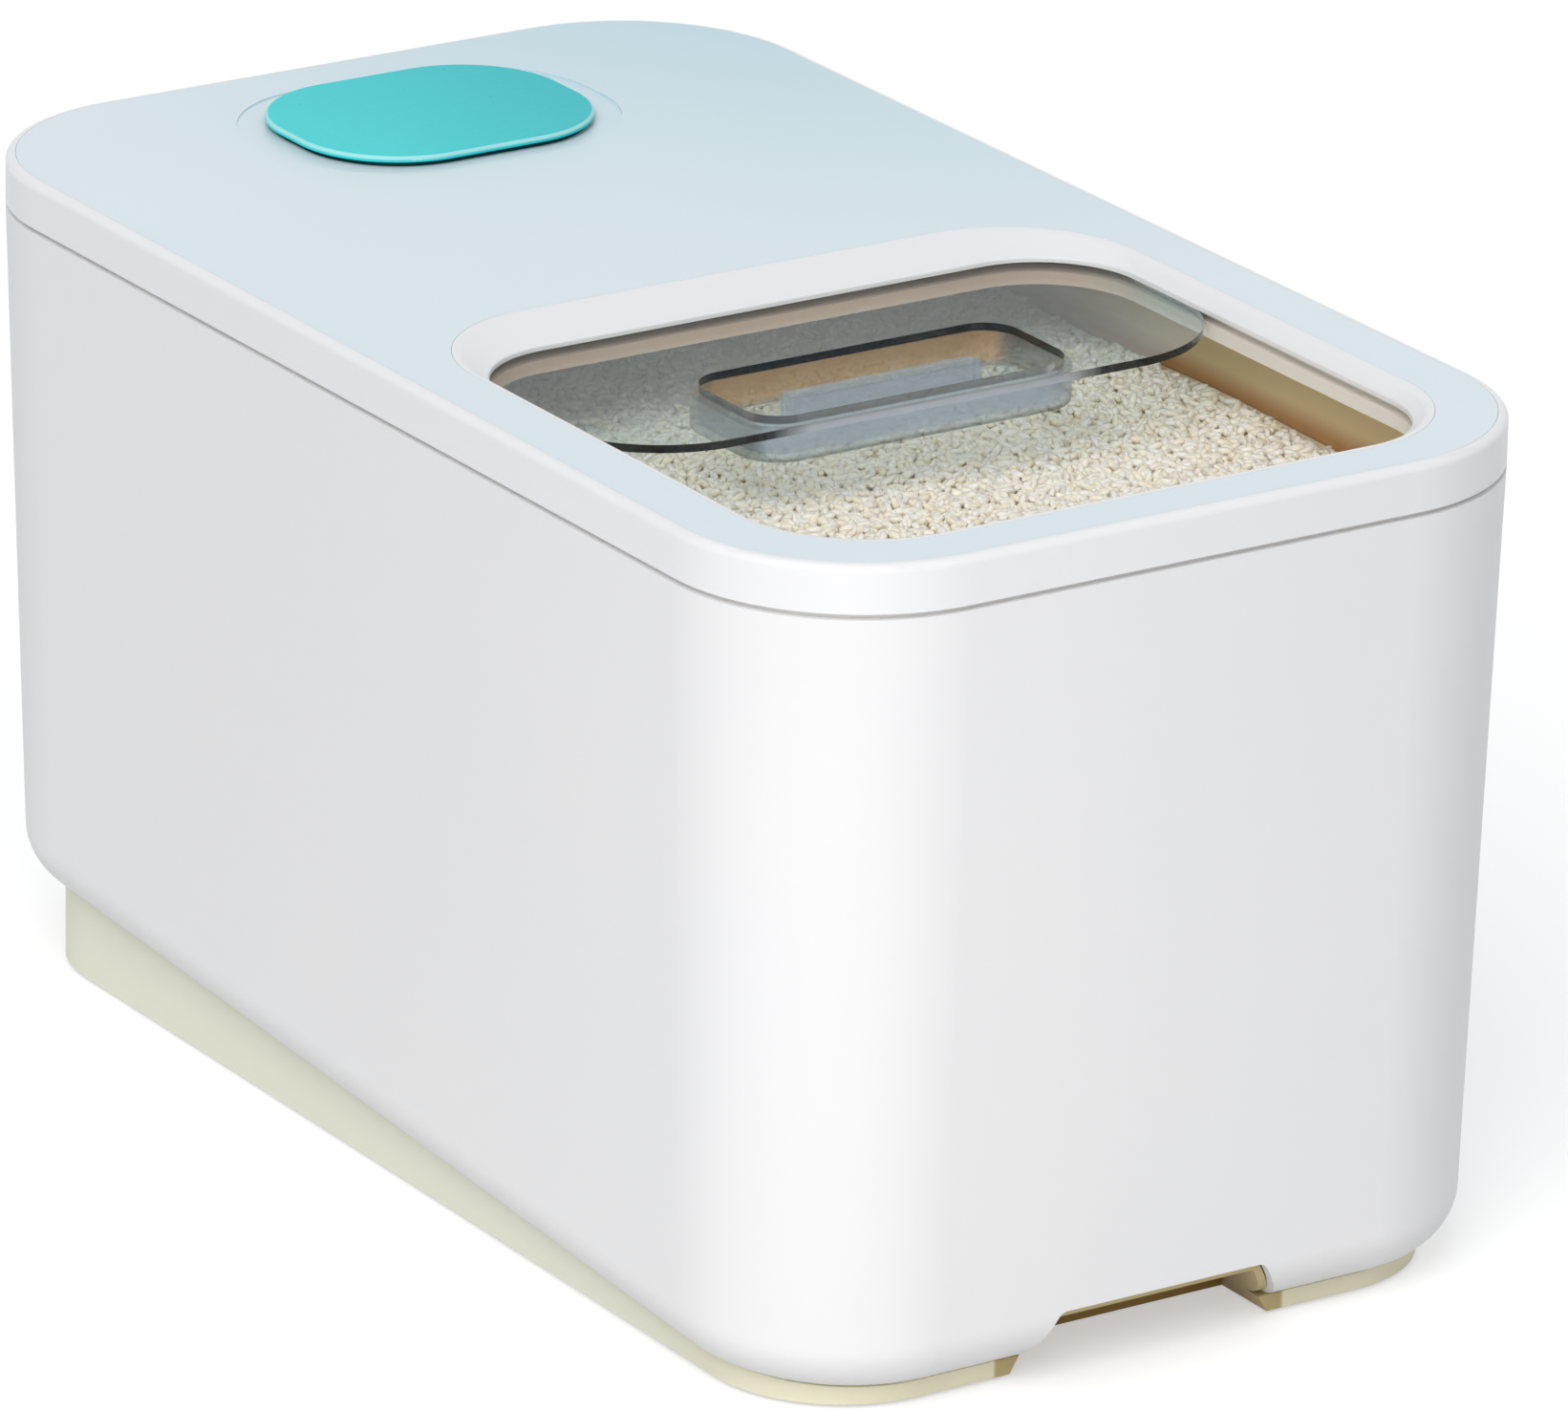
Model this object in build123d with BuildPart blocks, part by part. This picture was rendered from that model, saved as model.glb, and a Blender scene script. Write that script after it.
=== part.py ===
import os
from math import cos, radians, sin, tan

from build123d import *

os.makedirs("parts", exist_ok=True)

# Container body, given at the rim, where the drafted sides are widest
body_width = 220.0
body_length = 387.0
corner_radius = 48.0
rim_height = 197.9
side_draft = 1.545
shell_wall = 2.5
underside_radius = 12.5

# Underside of the shell, which climbs to the rear
floor_middle = 15.0
floor_slope = 3.19

# Inner bin, hung in the shell by the flange round its mouth
bin_gap = 1.0
bin_wall = 2.0
bin_clearance = 2.0
bin_edge_radius = 14.0
flange_thickness = 1.4
flange_setback = 1.6

# Wedge base screwed under the shell, with a solid toe at the front
base_inset = 9.3
base_wall = 2.5
base_plate = 2.2
base_toe = 36.0
ground_clearance = 0.8

# Finger notch in the lower front edge, lined by the base
notch_top_width = 57.0
notch_bottom_width = 79.0
notch_height = 18.0
notch_depth = 30.0
notch_corner = 3.0
notch_wall = 2.0
fit_clearance = 0.3

# Screws that hold the base to bosses in the shell
base_screw_diameter = 3.0
base_screw_length = 9.0
base_head_diameter = 6.0
base_head_height = 1.6
base_screw_inset = 32.0
base_screw_setback = 73.5
base_screw_rows = 3
boss_wall = 2.5
boss_height = 8.0
thread_clearance = 0.05
hole_clearance = 0.15

# Rubber feet in sockets under the base
foot_diameter = 16.0
foot_height = 2.0
foot_chamfer = 0.4
foot_seat_wall = 2.0
foot_inset = 21.0
front_foot_setback = 26.0
rear_foot_setback = 51.0

# Rear rollers, just off the ground until the front is lifted
roller_diameter = 12.0
roller_width = 14.0
roller_inset = 37.0
roller_setback = 21.0
roller_lift = 0.4
roller_edge = 0.8
axle_diameter = 4.0
axle_fit = 0.05
pin_fit = 0.02
ear_thickness = 3.0
ear_length = 9.0
ear_gap = 0.4

# Lid with a rounded edge and a plug lip that drops into the inner bin
lid_height = 11.7
lid_wall = 2.5
lid_edge_radius = 2.0
deck_thickness = 2.5
plug_depth = 6.0
plug_wall = 1.8
plug_clearance = 0.6
seal_height = 3.0
seal_gap = 0.2

# Pale deck plate let into the top of the lid
plate_thickness = 1.2
plate_inset = 2.4
plate_clearance = 0.1

# Scooping opening with a bevel that runs down to a thin lip
opening_border = 21.5
opening_corner = 26.0
opening_setback = 23.0
bevel_side = 3.0
bevel_front = 6.5
bevel_rear = 14.0
bevel_corner = 33.0
bevel_land = 1.6
bevel_edge_radius = 2.5
lip_thickness = 1.2
lip_edge_radius = 0.5
track_pad = 1.1

# Clear hatch that slides under the deck, shown part open
panel_thickness = 2.0
panel_overlap = 2.5
panel_front_overlap = 3.5
panel_rear_overlap = 8.0
panel_front_corner = 34.0
panel_rear_corner = 4.0
panel_play = 0.6
panel_gap = 0.2
hatch_opened = 0.794
pocket_width = 88.0
pocket_length = 35.0
pocket_corner = 9.0
pocket_depth = 9.3
pocket_wall = 2.0
pocket_setback = 24.5
pocket_stop_gap = 8.7
pocket_edge_radius = 1.5
grip_rib_width = 54.0
grip_rib_thickness = 5.0
grip_rib_drop = 2.0
grip_rib_corner = 1.0

# Rail frame that carries the hatch under the deck
rail_height = 3.2
rail_stop = 3.0
rail_stop_gap = 2.0
rail_web = 3.0
rail_corner = 26.0
rail_cross = 6.0
rail_cup_gap = 4.0
rail_tab_width = 7.0
rail_tab_length = 12.0
rail_tab_thickness = 2.5
rail_screw_rows = 4
rail_screw_front = 40.0
rail_screw_rear = 14.0
rail_screw_diameter = 2.6
rail_screw_length = 6.5
rail_head_diameter = 5.0
rail_head_height = 1.5
rail_boss_diameter = 6.5

# Repellent compartment at the rear of the lid: cap, its seal and the slotted cup
cap_width = 80.0
cap_length = 64.0
cap_corner = 27.0
cap_rise = 2.5
cap_rim = 1.6
cap_undercut = 2.0
cap_edge_radius = 1.2
cap_gap = 0.5
cap_setback = 53.5
cap_skirt_depth = 5.5
cap_skirt_wall = 1.6
seat_width = 96.0
seat_length = 73.0
seat_corner = 33.0
seat_depth = 0.5
cup_width = 63.4
cup_length = 47.4
cup_corner = 18.7
cup_depth = 20.0
cup_wall = 1.5
cup_flange = 5.3
cup_flange_thickness = 1.5
cup_slot_length = 24.0
cup_slot_width = 3.0
cup_slot_pitch = 8.0
cup_slot_count = 5
cap_seal_thickness = 1.4
cap_seal_height = 2.0

# Spare length that takes a cutting shape past the face it cuts, and how level a chosen edge has to be
cut_margin = 10.0
level_tolerance = 0.01

# Heights in the lid, from its seat on the bin's flange up
lid_seat = rim_height + flange_thickness
lid_top = lid_seat + lid_height
deck_top = lid_top - plate_thickness
deck_under = deck_top - deck_thickness
track_top = deck_under - track_pad
panel_top = track_top - panel_gap
panel_under = panel_top - panel_thickness
rail_top = panel_under - panel_gap
rail_under = rail_top - rail_height
tab_top = rail_under + rail_tab_thickness
lip_top = track_top + lip_thickness

# Places along the container, from the front edge back
body_front = -body_length / 2
cap_middle = -body_front - cap_setback
cup_front = cap_middle - cup_length / 2
rail_rear = cup_front - rail_cup_gap

# Opening: as long as the hatch can clear before its pocket meets the opening's rear edge
opening_width = body_width - 2 * opening_border
opening_front = body_front + opening_setback
pocket_reach = pocket_setback + pocket_length / 2 + pocket_wall
hatch_room = rail_rear - rail_cross - rail_stop_gap - opening_front
panel_overlaps = panel_front_overlap + panel_rear_overlap
opening_length = (hatch_room - panel_overlaps + pocket_reach + pocket_stop_gap) / 2
opening_rear = opening_front + opening_length
opening_middle = (opening_front + opening_rear) / 2
bevel_width = opening_width + 2 * bevel_side
bevel_length = opening_length + bevel_front + bevel_rear
bevel_middle = opening_middle + (bevel_rear - bevel_front) / 2

# Hatch and rails: the hatch opens until it meets the rear end of the rail frame
panel_width = opening_width + 2 * panel_overlap
panel_length = opening_length + panel_overlaps
panel_closed = opening_front - panel_front_overlap
rail_front = panel_closed - rail_stop_gap - rail_stop
rail_middle = (rail_front + rail_rear) / 2
rail_length = rail_rear - rail_front
rail_channel = panel_width + 2 * panel_play
rail_width = rail_channel + 2 * rail_web
hatch_travel = rail_rear - rail_cross - rail_stop_gap - (panel_closed + panel_length)
panel_front = panel_closed + hatch_opened * hatch_travel
panel_middle = panel_front + panel_length / 2
pocket_middle = panel_front + pocket_setback
rail_screw_spacing = rail_width + rail_tab_width
rail_screw_pitch = (rail_length - rail_screw_front - rail_screw_rear) / (rail_screw_rows - 1)
rail_screw_middle = rail_middle + (rail_screw_front - rail_screw_rear) / 2

# Sloping underside as a plane whose Z points up into the container
floor_plane = Plane(
    origin=(0, 0, floor_middle),
    x_dir=(1, 0, 0),
    z_dir=(0, -sin(radians(floor_slope)), cos(radians(floor_slope))),
)


def lean(height):
    """How far the drafted side has come in from the rim at a height"""
    return (rim_height - height) * tan(radians(side_draft))


def floor_at(along):
    """Height of the shell's underside at a place along the container"""
    return floor_middle + along * tan(radians(floor_slope))


# Base outline, inside the rounded lower edge of the shell
base_width = body_width - 2 * (lean(floor_middle) + base_inset)
base_length = body_length - 2 * (lean(floor_middle) + base_inset)
base_corner = corner_radius - lean(floor_middle) - base_inset
base_screw_spacing = base_width - 2 * base_screw_inset
base_screw_pitch = (base_length - 2 * base_screw_setback) / (base_screw_rows - 1)
foot_spacing = base_width - 2 * foot_inset
roller_spacing = base_width - 2 * roller_inset
notch_back = body_front + lean(notch_height) + notch_depth
bin_lift = notch_height + bin_clearance - floor_at(body_front)
foot_places = [
    (side * foot_spacing / 2, along)
    for side in (-1, 1)
    for along in (-base_length / 2 + front_foot_setback, base_length / 2 - rear_foot_setback)
]
roller_along = base_length / 2 - roller_setback
axle_height = roller_lift + roller_diameter / 2
axle_length = roller_width + 2 * (ear_gap + ear_thickness)


def body_plan(inset, mode=Mode.ADD):
    """Container's plan set in by inset, drawn in the open sketch"""
    RectangleRounded(
        body_width - 2 * inset,
        body_length - 2 * inset,
        corner_radius - inset,
        mode=mode,
    )


def bevel_plan(grow, mode=Mode.ADD):
    """Upper edge of the opening's bevel let out by grow, drawn in the open sketch"""
    with Locations((0, bevel_middle)):
        RectangleRounded(
            bevel_width + 2 * grow,
            bevel_length + 2 * grow,
            bevel_corner + grow,
            mode=mode,
        )


def cup_plan(grow, mode=Mode.ADD):
    """Cup's outline let out by grow, drawn in the open sketch"""
    with Locations((0, cap_middle)):
        RectangleRounded(
            cup_width + 2 * grow,
            cup_length + 2 * grow,
            cup_corner + grow,
            mode=mode,
        )


def cap_plan(grow, mode=Mode.ADD):
    """Cap's outline let out by grow, drawn in the open sketch"""
    with Locations((0, cap_middle)):
        RectangleRounded(
            cap_width + 2 * grow,
            cap_length + 2 * grow,
            cap_corner + grow,
            mode=mode,
        )


def base_screw_circles(diameter):
    """Circles at the base screws' places, drawn in the open sketch on the sloping floor"""
    with GridLocations(base_screw_spacing, base_screw_pitch, 2, base_screw_rows):
        Circle(diameter / 2)


def rail_screw_circles(diameter, mode=Mode.ADD):
    """Circles at the rail screws' places, drawn in the open sketch"""
    with Locations((0, rail_screw_middle)):
        with GridLocations(rail_screw_spacing, rail_screw_pitch, 2, rail_screw_rows):
            Circle(diameter / 2, mode=mode)


def tub(inset, top, lift, edge_radius):
    """Block with the container's drafted sides set in by inset and its sloping floor raised by lift"""
    with BuildPart() as block:
        with BuildSketch(Plane.XY.offset(-cut_margin)):
            body_plan(inset)
        extrude(amount=top + cut_margin)
        sides = block.faces().filter_by(Axis.Z, reverse=True)
        draft(sides, Plane.XY.offset(rim_height), -side_draft)
        split(bisect_by=floor_plane.offset(lift), keep=Keep.TOP)
        fillet(block.faces().sort_by(Axis.Z)[0].edges(), edge_radius)
    return block.part


def wedge(inset, drop):
    """Block with the base's outline set in by inset, from its lower edge up to the floor less drop"""
    with BuildPart() as block:
        with BuildSketch(Plane.XY.offset(ground_clearance)):
            RectangleRounded(base_width - 2 * inset, base_length - 2 * inset, base_corner - inset)
        extrude(amount=floor_at(body_length))
        split(bisect_by=floor_plane.offset(-drop), keep=Keep.BOTTOM)
    return block.part


def notch(shrink):
    """Finger notch as a block that runs out at the front, set in by shrink on the other sides"""
    half_top = notch_top_width / 2
    half_bottom = notch_bottom_width / 2
    flare = (half_bottom - half_top) / notch_height
    reach = half_bottom + flare * cut_margin
    with BuildPart() as block:
        with BuildSketch(Plane.XZ.offset(-notch_back + shrink)) as profile:
            with BuildLine():
                Polyline(
                    (-reach, -cut_margin),
                    (-half_top, notch_height),
                    (half_top, notch_height),
                    (reach, -cut_margin),
                    close=True,
                )
            make_face()
            fillet(profile.vertices().group_by(Axis.Y)[-1], notch_corner)
            offset(amount=-shrink, mode=Mode.REPLACE)
        extrude(amount=notch_depth + cut_margin)
    return block.part


def rounded_ring(height, outer_inset, inner_inset, thickness):
    """Ring that follows the container's plan between two insets, from a height up"""
    with BuildPart() as ring:
        with BuildSketch(Plane.XY.offset(height)):
            body_plan(outer_inset)
            body_plan(inner_inset, mode=Mode.SUBTRACT)
        extrude(amount=thickness)
    return ring.part


# Outer shell: white tub with a sloping floor, screw bosses and the finger notch
with BuildPart() as outer_shell:
    add(tub(0, rim_height, 0, underside_radius))
    add(
        tub(shell_wall, rim_height + cut_margin, shell_wall, underside_radius - shell_wall),
        mode=Mode.SUBTRACT,
    )
    with BuildSketch(floor_plane.offset(shell_wall)):
        base_screw_circles(base_screw_diameter + 2 * boss_wall)
    extrude(amount=boss_height)
    with BuildSketch(floor_plane):
        base_screw_circles(base_screw_diameter + 2 * thread_clearance)
    extrude(amount=shell_wall + boss_height, mode=Mode.SUBTRACT)
    add(notch(0), mode=Mode.SUBTRACT)
outer_shell.part.label = "outer_shell"
export_step(outer_shell.part, "parts/outer_shell.step")

# Inner bin: cream tub that holds the rice, hung by its flange on the shell's rim
bin_inset = shell_wall + bin_gap
bin_inside = bin_inset + bin_wall
with BuildPart() as inner_bin:
    add(tub(bin_inset, lid_seat, bin_lift, bin_edge_radius))
    add(rounded_ring(rim_height, flange_setback, bin_inset, flange_thickness))
    add(
        tub(bin_inside, lid_seat + cut_margin, bin_lift + bin_wall, bin_edge_radius - bin_wall),
        mode=Mode.SUBTRACT,
    )
inner_bin.part.label = "inner_bin"
export_step(inner_bin.part, "parts/inner_bin.step")

# Fittings moulded under the base: foot seats and the ears that carry the roller pins
with BuildPart() as base_fittings:
    with BuildSketch(Plane.XY.offset(ground_clearance)):
        with Locations(*foot_places):
            Circle(foot_diameter / 2 + foot_seat_wall)
    extrude(amount=floor_at(body_length))
    with BuildSketch(Plane.XY.offset(axle_height - ear_length / 2)):
        with GridLocations(roller_spacing, 0, 2, 1):
            with Locations((0, roller_along)):
                with GridLocations(roller_width + 2 * ear_gap + ear_thickness, 0, 2, 1):
                    Rectangle(ear_thickness, ear_length)
    extrude(amount=floor_at(body_length))
    add(wedge(0, 0), mode=Mode.INTERSECT)

# Space inside the base, behind the solid toe
with BuildPart() as base_cavity:
    add(wedge(base_wall, base_plate))
    split(bisect_by=Plane.XZ.offset(base_length / 2 - base_toe), keep=Keep.BOTTOM)

# Liner of the finger notch, which stays behind the front wall and the rounded lower edge of the shell
with BuildPart() as liner_room:
    add(tub(shell_wall, rim_height, 0, underside_radius))
    add(wedge(0, 0))
with BuildPart() as notch_liner:
    add(notch(fit_clearance))
    add(liner_room.part, mode=Mode.INTERSECT)

# Base: cream wedge, open underneath, that stands the sloping shell level
with BuildPart() as base_stand:
    add(wedge(0, 0))
    add(base_cavity.part, mode=Mode.SUBTRACT)
    add(base_fittings.part)
    add(notch_liner.part)
    add(notch(fit_clearance + notch_wall), mode=Mode.SUBTRACT)
    with BuildSketch(Plane.XY):
        with Locations(*foot_places):
            Circle(foot_diameter / 2)
    extrude(amount=foot_height, mode=Mode.SUBTRACT)
    with BuildSketch(floor_plane):
        base_screw_circles(base_screw_diameter + 2 * hole_clearance)
    extrude(amount=-base_plate, mode=Mode.SUBTRACT)
    for side in (-1, 1):
        with BuildSketch(Plane.YZ.offset(side * roller_spacing / 2)):
            with Locations((roller_along, axle_height)):
                Circle(axle_diameter / 2 + pin_fit)
        extrude(amount=axle_length / 2, both=True, mode=Mode.SUBTRACT)
base_stand.part.label = "base_stand"
export_step(base_stand.part, "parts/base_stand.step")

# Base screws: pan heads under the base's plate, shanks up into the shell's bosses
with BuildPart() as base_screws:
    with BuildSketch(floor_plane.offset(-base_plate)):
        base_screw_circles(base_head_diameter)
    extrude(amount=-base_head_height)
    with BuildSketch(floor_plane.offset(-base_plate)):
        base_screw_circles(base_screw_diameter)
    extrude(amount=base_screw_length)
base_screws.part.label = "base_screws"
export_step(base_screws.part, "parts/base_screws.step")

# Rubber feet: discs that stand proud of the base
foot_names = ("front_left", "rear_left", "front_right", "rear_right")
for name, place in zip(foot_names, foot_places):
    with BuildPart() as foot:
        with BuildSketch(Plane.XY):
            with Locations(place):
                Circle(foot_diameter / 2)
        extrude(amount=foot_height)
        chamfer(foot.faces().sort_by(Axis.Z)[0].edges(), foot_chamfer)
    foot.part.label = f"foot_{name}"
    export_step(foot.part, f"parts/foot_{name}.step")

# Rollers and the steel pins that they turn on
for name, side in (("left", -1), ("right", 1)):
    roller_middle = side * roller_spacing / 2
    with BuildPart() as roller:
        with BuildSketch(Plane.YZ.offset(roller_middle)):
            with Locations((roller_along, axle_height)):
                Circle(roller_diameter / 2)
        extrude(amount=roller_width / 2, both=True)
        fillet(roller.edges().filter_by(GeomType.CIRCLE), roller_edge)
        with BuildSketch(Plane.YZ.offset(roller_middle)):
            with Locations((roller_along, axle_height)):
                Circle(axle_diameter / 2 + axle_fit)
        extrude(amount=roller_width / 2, both=True, mode=Mode.SUBTRACT)
    roller.part.label = f"roller_{name}"
    export_step(roller.part, f"parts/roller_{name}.step")

    with BuildPart() as roller_pin:
        with BuildSketch(Plane.YZ.offset(roller_middle)):
            with Locations((roller_along, axle_height)):
                Circle(axle_diameter / 2)
        extrude(amount=axle_length / 2, both=True)
    roller_pin.part.label = f"roller_pin_{name}"
    export_step(roller_pin.part, f"parts/roller_pin_{name}.step")

# Cutting shape of the scooping opening: straight through at the lip, then the bevel
with BuildPart() as opening_cut:
    with BuildSketch(Plane.XY.offset(lip_top)):
        with Locations((0, opening_middle)):
            RectangleRounded(opening_width, opening_length, opening_corner)
    with BuildSketch(Plane.XY.offset(lid_top)):
        bevel_plan(0)
    loft(ruled=True)
    with BuildSketch(Plane.XY.offset(lip_top)):
        with Locations((0, opening_middle)):
            RectangleRounded(opening_width, opening_length, opening_corner)
    extrude(amount=-cut_margin)

# Lid frame: white rim, plug lip, hatch track and bevelled opening in one moulding
plug_inset = bin_inside + plug_clearance
plug_foot = lid_seat - plug_depth
with BuildPart() as lid_frame:
    with BuildSketch(Plane.XY.offset(lid_seat)):
        body_plan(0)
    extrude(amount=lid_height)
    fillet(lid_frame.faces().sort_by(Axis.Z)[-1].edges(), lid_edge_radius)
    with BuildSketch(Plane.XY.offset(lid_seat)):
        body_plan(lid_wall)
    extrude(amount=deck_under - lid_seat, mode=Mode.SUBTRACT)
    add(rounded_ring(plug_foot, plug_inset, plug_inset + plug_wall, deck_under - plug_foot))
    with BuildSketch(Plane.XY.offset(track_top)):
        with Locations((0, rail_middle)):
            Rectangle(rail_width, rail_length)
    extrude(amount=track_pad)
    with BuildSketch(Plane.XY.offset(tab_top)):
        rail_screw_circles(rail_boss_diameter)
    extrude(amount=deck_under - tab_top)
    add(opening_cut.part, mode=Mode.SUBTRACT)
    fillet(lid_frame.faces().sort_by(Axis.Z)[-1].inner_wires()[0].edges(), bevel_edge_radius)
    lip_band = (lip_top - level_tolerance, lip_top + level_tolerance)
    fillet(lid_frame.edges().filter_by_position(Axis.Z, *lip_band), lip_edge_radius)
    with BuildSketch(Plane.XY.offset(deck_top)):
        body_plan(plate_inset)
        bevel_plan(bevel_land, mode=Mode.SUBTRACT)
    extrude(amount=plate_thickness, mode=Mode.SUBTRACT)
    with BuildSketch(Plane.XY.offset(deck_top)):
        cup_plan(cup_flange + fit_clearance)
    extrude(amount=-cup_flange_thickness, mode=Mode.SUBTRACT)
    with BuildSketch(Plane.XY.offset(deck_top)):
        cup_plan(fit_clearance)
    extrude(amount=-deck_thickness, mode=Mode.SUBTRACT)
    with BuildSketch(Plane.XY.offset(tab_top)):
        rail_screw_circles(rail_screw_diameter + 2 * thread_clearance)
    extrude(amount=rail_screw_length - rail_tab_thickness + thread_clearance, mode=Mode.SUBTRACT)
lid_frame.part.label = "lid_frame"
export_step(lid_frame.part, "parts/lid_frame.step")

# Top plate: pale deck let in flush, with a shallow seat round the cap
with BuildPart() as top_plate:
    with BuildSketch(Plane.XY.offset(deck_top)):
        body_plan(plate_inset + plate_clearance)
        bevel_plan(bevel_land + plate_clearance, mode=Mode.SUBTRACT)
        cap_plan(cap_gap - cap_undercut, mode=Mode.SUBTRACT)
    extrude(amount=plate_thickness)
    with BuildSketch(Plane.XY.offset(lid_top)):
        with Locations((0, cap_middle)):
            RectangleRounded(seat_width, seat_length, seat_corner)
    extrude(amount=-seat_depth, mode=Mode.SUBTRACT)
top_plate.part.label = "top_plate"
export_step(top_plate.part, "parts/top_plate.step")

# Lid seal: silicone ring stretched round the plug lip, over the bin's flange
with BuildPart() as lid_seal:
    add(rounded_ring(lid_seat + seal_gap, lid_wall + fit_clearance, plug_inset, seal_height))
lid_seal.part.label = "lid_seal"
export_step(lid_seal.part, "parts/lid_seal.step")

# Rail frame: ledges under the hatch, side webs, end stops and screw tabs
rail_outer_corner = rail_corner + (rail_width - opening_width) / 2
channel_length = rail_length - rail_stop - rail_cross
rear_window = rail_rear - 2 * rail_cross - opening_rear
with BuildSketch() as channel:
    with Locations((0, rail_front + rail_stop + channel_length / 2)):
        Rectangle(rail_channel, channel_length)
    fillet(channel.vertices().group_by(Axis.Y)[0], rail_corner)
with BuildPart() as rail_frame:
    with BuildSketch(Plane.XY.offset(rail_under)) as ledge:
        with Locations((0, rail_middle)):
            Rectangle(rail_width, rail_length)
        fillet(ledge.vertices().group_by(Axis.Y)[0], rail_outer_corner)
        with Locations((0, opening_middle - panel_front_overlap / 4)):
            RectangleRounded(
                opening_width,
                opening_length + panel_front_overlap / 2,
                rail_corner,
                mode=Mode.SUBTRACT,
            )
        with Locations((0, opening_rear + rail_cross + rear_window / 2)):
            Rectangle(opening_width, rear_window, mode=Mode.SUBTRACT)
    extrude(amount=rail_height)
    with BuildSketch(Plane.XY.offset(rail_top)) as web:
        with Locations((0, rail_middle)):
            Rectangle(rail_width, rail_length)
        fillet(web.vertices().group_by(Axis.Y)[0], rail_outer_corner)
        add(channel.sketch, mode=Mode.SUBTRACT)
    extrude(amount=track_top - rail_top)
    with BuildSketch(Plane.XY.offset(rail_under)):
        with Locations((0, rail_screw_middle)):
            with GridLocations(rail_screw_spacing, rail_screw_pitch, 2, rail_screw_rows):
                Rectangle(rail_tab_width, rail_tab_length)
        rail_screw_circles(rail_screw_diameter + 2 * hole_clearance, mode=Mode.SUBTRACT)
    extrude(amount=rail_tab_thickness)
rail_frame.part.label = "rail_frame"
export_step(rail_frame.part, "parts/rail_frame.step")

# Rail screws: up through the tabs into the lid's bosses
with BuildPart() as rail_screws:
    for diameter, amount in (
        (rail_head_diameter, -rail_head_height),
        (rail_screw_diameter, rail_screw_length),
    ):
        with BuildSketch(Plane.XY.offset(rail_under)):
            rail_screw_circles(diameter)
        extrude(amount=amount)
rail_screws.part.label = "rail_screws"
export_step(rail_screws.part, "parts/rail_screws.step")

# Hatch panel: clear sheet with a sunk grip pocket and a rib to pinch
pocket_outer_depth = pocket_depth + pocket_wall
with BuildPart() as hatch_panel:
    with BuildSketch(Plane.XY.offset(panel_under)) as sheet:
        with Locations((0, panel_middle)):
            Rectangle(panel_width, panel_length)
        fillet(sheet.vertices().group_by(Axis.Y)[0], panel_front_corner)
        fillet(sheet.vertices().group_by(Axis.Y)[-1], panel_rear_corner)
    extrude(amount=panel_thickness)
    with BuildSketch(Plane.XY.offset(panel_top - pocket_outer_depth)):
        with Locations((0, pocket_middle)):
            RectangleRounded(
                pocket_width + 2 * pocket_wall,
                pocket_length + 2 * pocket_wall,
                pocket_corner + pocket_wall,
            )
    extrude(amount=pocket_outer_depth - panel_thickness)
    fillet(hatch_panel.faces().sort_by(Axis.Z)[0].edges(), pocket_edge_radius)
    with BuildSketch(Plane.XY.offset(panel_top)):
        with Locations((0, pocket_middle)):
            RectangleRounded(pocket_width, pocket_length, pocket_corner)
    extrude(amount=-pocket_depth, mode=Mode.SUBTRACT)
    with BuildSketch(Plane.XY.offset(panel_top - pocket_depth)):
        with Locations((0, pocket_middle)):
            RectangleRounded(grip_rib_width, grip_rib_thickness, grip_rib_corner)
    extrude(amount=pocket_depth - grip_rib_drop)
hatch_panel.part.label = "hatch_panel"
export_step(hatch_panel.part, "parts/hatch_panel.step")

# Repellent cup: slotted basket hung by its flange in the deck
cup_floor = deck_top - cup_flange_thickness - cup_depth
with BuildPart() as repellent_cup:
    with BuildSketch(Plane.XY.offset(deck_top - cup_flange_thickness)):
        cup_plan(cup_flange)
    extrude(amount=cup_flange_thickness)
    with BuildSketch(Plane.XY.offset(cup_floor)):
        cup_plan(0)
    extrude(amount=cup_depth)
    with BuildSketch(Plane.XY.offset(deck_top)):
        cup_plan(-cup_wall)
    extrude(amount=cup_wall - cup_depth - cup_flange_thickness, mode=Mode.SUBTRACT)
    with BuildSketch(Plane.XY.offset(cup_floor)):
        with Locations((0, cap_middle)):
            with GridLocations(cup_slot_pitch, 0, cup_slot_count, 1):
                SlotOverall(cup_slot_length, cup_slot_width, rotation=90)
    extrude(amount=cup_wall, mode=Mode.SUBTRACT)
repellent_cup.part.label = "repellent_cup"
export_step(repellent_cup.part, "parts/repellent_cup.step")

# Repellent cap: teal lid with an overhanging rim for a fingernail and a skirt that plugs the cup
skirt_gap = cup_wall + fit_clearance + cap_seal_thickness
with BuildPart() as repellent_cap:
    with BuildSketch(Plane.XY.offset(deck_top)):
        cap_plan(-cap_undercut)
    extrude(amount=plate_thickness + cap_rise)
    with BuildSketch(Plane.XY.offset(lid_top + cap_rise)):
        cap_plan(0)
    extrude(amount=-cap_rim)
    fillet(repellent_cap.faces().sort_by(Axis.Z)[-1].edges(), cap_edge_radius)
    with BuildSketch(Plane.XY.offset(deck_top)):
        cup_plan(-skirt_gap)
        cup_plan(-skirt_gap - cap_skirt_wall, mode=Mode.SUBTRACT)
    extrude(amount=-cap_skirt_depth)
repellent_cap.part.label = "repellent_cap"
export_step(repellent_cap.part, "parts/repellent_cap.step")

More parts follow.
